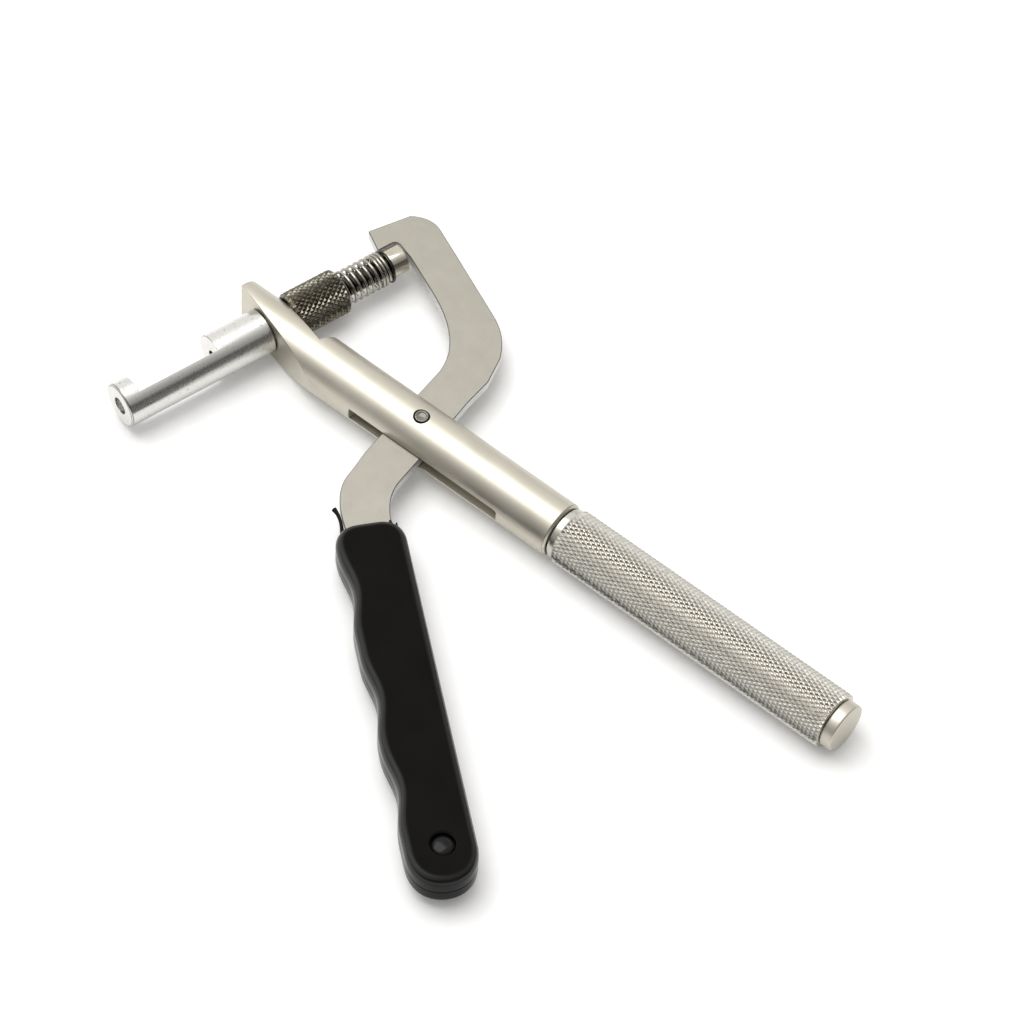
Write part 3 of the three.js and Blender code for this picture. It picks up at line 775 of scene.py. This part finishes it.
def make_grip_screw():
    place = ON_GRIP @ Matrix.Translation((SCREW_PLACE * MM, TANG_CENTRE * MM, 0))
    seat = (GRIP_THICKNESS / 2 - SCREW_RECESS + 0.15) * MM
    head_radius = 2.4 * MM
    profile = [(0, -3.7 * MM), *rounded([
        (1.1 * MM, -3.7 * MM), (1.3 * MM, -3.5 * MM), (1.3 * MM, seat), (head_radius, seat),
        (head_radius, seat + 0.45 * MM),
    ], 0.15 * MM)]
    for i in range(1, 11):
        angle = math.pi / 2 * i / 10
        profile.append((head_radius * math.cos(angle),
                        seat + (0.45 + 0.75 * math.sin(angle)) * MM))
    finish_piece("grip_screw_finished", turned(profile, 64), "lever", "black_steel",
                 "grip_screw", matrix=place, smooth_below=50)
    nut = from_node("grip_screw_nut", 0.1 * MM)
    finish_piece("grip_screw_nut_finished", nut, "lever", "black_steel", "grip_screw_nut")


make_body()
make_pivot_pin()
make_anvil()
make_handle()
make_end_cap()
make_spare_punches()
make_clamp_nut()
make_washer("spring_base_washer", "body")
make_washer("spring_cap_washer", "pusher")
make_spring()
make_rod()
make_button()
make_punch()
make_lever_plate()
make_grip_half("grip_upper_half_finished", 1)
make_grip_half("grip_lower_half_finished", -1)
make_grip_screw()


# ---- Floor, light and camera --------------------------------------------------------
def make_floor():
    bm = bmesh.new()
    bmesh.ops.create_grid(bm, x_segments=1, y_segments=1, size=3)
    mesh = bpy.data.meshes.new("floor")
    bm.to_mesh(mesh)
    bm.free()
    floor = bpy.data.objects.new("floor", mesh)
    bpy.context.scene.collection.objects.link(floor)
    look = Look("white paper", Roughness=0.9, Emission_Color=(1, 1, 1, 1), Emission_Strength=0.1)
    fibre = look.noise(400, 3)
    look.set("Base Color", look.ramp(fibre, [(0.3, grey(0.92)), (0.7, grey(0.95))]))
    mesh.materials.append(look.material)


KEY_SIDE = Vector((-0.55, 0.30, 0.78)).normalized()


def make_world():
    """A studio that is bright overhead and behind, and dark low down in front."""
    world = bpy.data.worlds.new("soft studio")
    bpy.context.scene.world = world
    world.use_nodes = True
    tree = world.node_tree
    background = tree.nodes["Background"]
    place = tree.nodes.new("ShaderNodeTexCoord")
    toward = tree.nodes.new("ShaderNodeVectorMath")
    toward.operation = "DOT_PRODUCT"
    toward.inputs[1].default_value = KEY_SIDE
    half = tree.nodes.new("ShaderNodeMapRange")
    half.inputs["From Min"].default_value = -1
    ramp = tree.nodes.new("ShaderNodeValToRGB")
    stops = [(0.0, 0.3), (0.46, 0.08), (0.53, 0.34), (0.64, 0.42), (0.74, 0.6), (0.85, 1.0)]
    while len(ramp.color_ramp.elements) < len(stops):
        ramp.color_ramp.elements.new(0.5)
    for element, (position, value) in zip(ramp.color_ramp.elements, stops):
        element.position = position
        element.color = (value, value * 0.99, value * 0.97, 1)
    tree.links.new(place.outputs["Generated"], toward.inputs[0])
    tree.links.new(toward.outputs["Value"], half.inputs["Value"])
    tree.links.new(half.outputs["Result"], ramp.inputs["Fac"])
    tree.links.new(ramp.outputs["Color"], background.inputs["Color"])
    background.inputs["Strength"].default_value = 1.1


def make_light(name, place, aim, size, power):
    light = bpy.data.lights.new(name, "AREA")
    light.shape = "RECTANGLE"
    light.size, light.size_y = size
    light.energy = power
    lamp = bpy.data.objects.new(name, light)
    bpy.context.scene.collection.objects.link(lamp)
    lamp.location = place
    lamp.rotation_mode = "QUATERNION"
    lamp.rotation_quaternion = (Vector(aim) - Vector(place)).to_track_quat("-Z", "Y")


CAMERA_TARGET = pivot + Vector((25.443, -2.683, 0)) * MM
CAMERA_DISTANCE = 1276.0 * MM
CAMERA_AZIMUTH = math.radians(36.25)
CAMERA_ELEVATION = math.radians(56.0)
CAMERA_ROLL = math.radians(3.6)
CAMERA_LENS = 213.86


def make_camera():
    camera = bpy.data.cameras.new("camera")
    camera.lens = CAMERA_LENS
    camera.sensor_width = 36
    camera.clip_start = 0.1
    camera.clip_end = 10
    holder = bpy.data.objects.new("camera", camera)
    bpy.context.scene.collection.objects.link(holder)
    level = math.cos(CAMERA_ELEVATION)
    back = Vector((math.sin(CAMERA_AZIMUTH) * level, -math.cos(CAMERA_AZIMUTH) * level,
                   math.sin(CAMERA_ELEVATION)))
    holder.location = CAMERA_TARGET + back * CAMERA_DISTANCE
    turn = (-back).to_track_quat("-Z", "Y").to_matrix().to_4x4()
    roll = Matrix.Rotation(CAMERA_ROLL, 4, "Z")
    holder.matrix_world = Matrix.Translation(holder.location) @ turn @ roll
    bpy.context.scene.camera = holder


make_floor()
make_world()
make_light("overhead softbox", (-0.4, 0.0, 1.12), (0, 0, 0), (0.9, 0.9), 8)
make_camera()
bpy.context.scene.view_settings.view_transform = "Standard"
